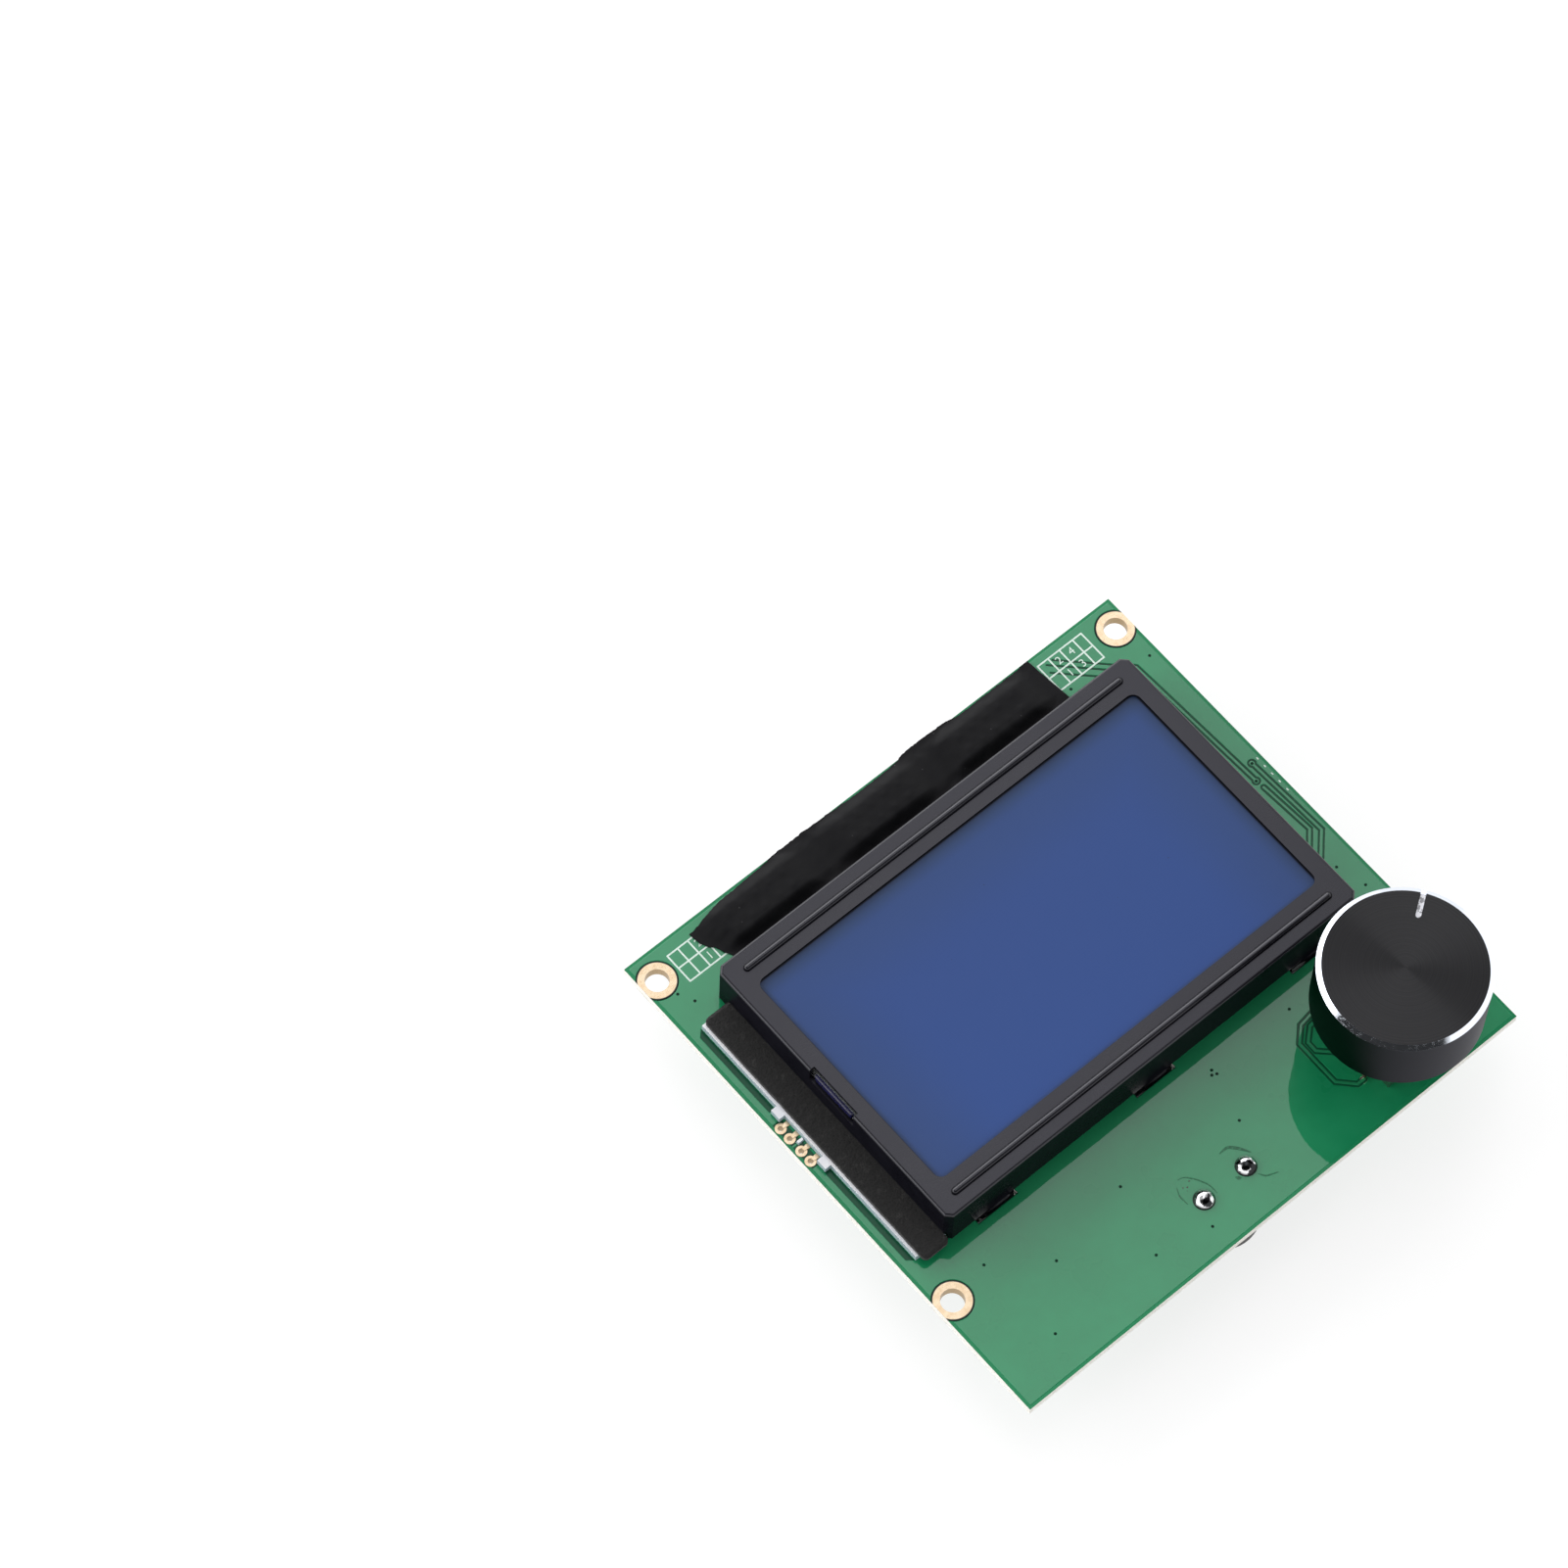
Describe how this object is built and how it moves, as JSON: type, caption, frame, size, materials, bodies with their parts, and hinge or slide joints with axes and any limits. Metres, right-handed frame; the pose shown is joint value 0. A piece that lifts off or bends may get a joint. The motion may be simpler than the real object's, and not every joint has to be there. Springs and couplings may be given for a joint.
{
  "type": "graphic display control board",
  "caption": "Green circuit board with a bezelled blue graphic display, a push and turn knob, and box headers and a buzzer on the rear.",
  "frame": {"origin": "centre of the four mounting holes on the board's rear face", "axes": "+X to the display's right, +Y to its top edge, +Z out of its front"},
  "size_m": [0.093, 0.0911, 0.0337],
  "materials": {
    "backlight_lamps": "yellow phosphor lens",
    "backlight_pads": "gold plated",
    "backlight_tray": "white moulded",
    "bezel_frame": "black satin paint",
    "buzzer_base": "moulded",
    "buzzer_case": "moulded",
    "buzzer_coil": "enamelled copper wire",
    "buzzer_diaphragm": "spring steel",
    "buzzer_magnet": "sintered ring",
    "buzzer_pins": "tinned",
    "buzzer_pole": "plain iron",
    "buzzer_solder": "bright solder",
    "buzzer_transistor": "moulded",
    "chip_capacitors": "plain",
    "chip_end_caps": "tinned",
    "chip_resistors": "glazed",
    "circuit_board": "glossy green solder mask",
    "contact_strip_lower": "layered rubber",
    "contact_strip_upper": "layered rubber",
    "detent_spring": "phosphor bronze",
    "diffuser_sheet": "frosted film",
    "driver_resin": "black resin",
    "encoder_base": "moulded",
    "encoder_bushing": "zinc casting",
    "encoder_frame": "plated sheet",
    "encoder_rotor": "moulded",
    "encoder_shaft": "turned",
    "encoder_solder": "bright solder",
    "encoder_terminals": "tinned",
    "filling_port_seal": "clear blue resin",
    "foam_pad": "open foam",
    "front_glass": "tinted by the cell",
    "front_polarizer": "blue film, satin",
    "header_pins_1": "gold plated",
    "header_pins_2": "gold plated",
    "header_pins_3": "gold plated",
    "header_shroud_1": "moulded",
    "header_shroud_2": "moulded",
    "header_shroud_3": "moulded",
    "header_solder": "bright solder",
    "insulating_tape": "satin film",
    "knob_insert": "moulded",
    "knob_shell": "black anodised, bright cut chamfer",
    "lamp_strip": "white board",
    "light_guide": "clear acrylic",
    "mounting_hole_plating": "gold plated",
    "rear_glass": "tinted by the cell",
    "rear_polarizer": "dark film",
    "reflector_sheet": "white film",
    "switch_dome": "spring steel",
    "transistor_leads": "tinned",
    "trimmer_base": "plain",
    "trimmer_rotor": "plated",
    "trimmer_terminals": "tinned"
  },
  "bodies": {
    "control_board": {"circuit_board": "circuit_board", "mounting_hole_plating": "mounting_hole_plating", "backlight_pads": "backlight_pads", "backlight_tray": "backlight_tray", "reflector_sheet": "reflector_sheet", "lamp_strip": "lamp_strip", "backlight_lamps": "backlight_lamps", "light_guide": "light_guide", "diffuser_sheet": "diffuser_sheet", "rear_polarizer": "rear_polarizer", "rear_glass": "rear_glass", "front_glass": "front_glass", "front_polarizer": "front_polarizer", "filling_port_seal": "filling_port_seal", "contact_strip_upper": "contact_strip_upper", "contact_strip_lower": "contact_strip_lower", "foam_pad": "foam_pad", "bezel_frame": "bezel_frame", "header_solder": "header_solder", "insulating_tape": "insulating_tape", "buzzer_case": "buzzer_case", "buzzer_base": "buzzer_base", "buzzer_magnet": "buzzer_magnet", "buzzer_coil": "buzzer_coil", "buzzer_pole": "buzzer_pole", "buzzer_diaphragm": "buzzer_diaphragm", "buzzer_pins": "buzzer_pins", "buzzer_solder": "buzzer_solder", "encoder_base": "encoder_base", "encoder_terminals": "encoder_terminals", "encoder_frame": "encoder_frame", "encoder_bushing": "encoder_bushing", "detent_spring": "detent_spring", "switch_dome": "switch_dome", "encoder_solder": "encoder_solder", "driver_resin": "driver_resin", "chip_resistors": "chip_resistors", "chip_capacitors": "chip_capacitors", "chip_end_caps": "chip_end_caps", "buzzer_transistor": "buzzer_transistor", "transistor_leads": "transistor_leads", "trimmer_base": "trimmer_base", "trimmer_terminals": "trimmer_terminals", "header_shroud_1": "header_shroud_1", "header_pins_1": "header_pins_1", "header_shroud_2": "header_shroud_2", "header_pins_2": "header_pins_2", "header_shroud_3": "header_shroud_3", "header_pins_3": "header_pins_3"},
    "detent_rotor": {"encoder_rotor": "encoder_rotor"},
    "knob": {"encoder_shaft": "encoder_shaft", "knob_insert": "knob_insert", "knob_shell": "knob_shell"},
    "trimmer": {"trimmer_rotor": "trimmer_rotor"}
  },
  "joints": [
    {"name": "knob_turn", "type": "hinge", "parent": "control_board", "child": "detent_rotor", "pos_m": [0.0307, -0.0416, 0.0045], "axis": [0, 0, 1], "continuous": true},
    {"name": "knob_press", "type": "slide", "parent": "detent_rotor", "child": "knob", "axis": [0, 0, -1], "range_m": [0, 0.0005], "stiffness_N_per_m": 5000, "springref_m": -0.0005},
    {"name": "contrast_turn", "type": "hinge", "parent": "control_board", "child": "trimmer", "pos_m": [0.036, 0.014, -0.0015], "axis": [0, 0, -1], "range_deg": [-120, 120]}
  ]
}
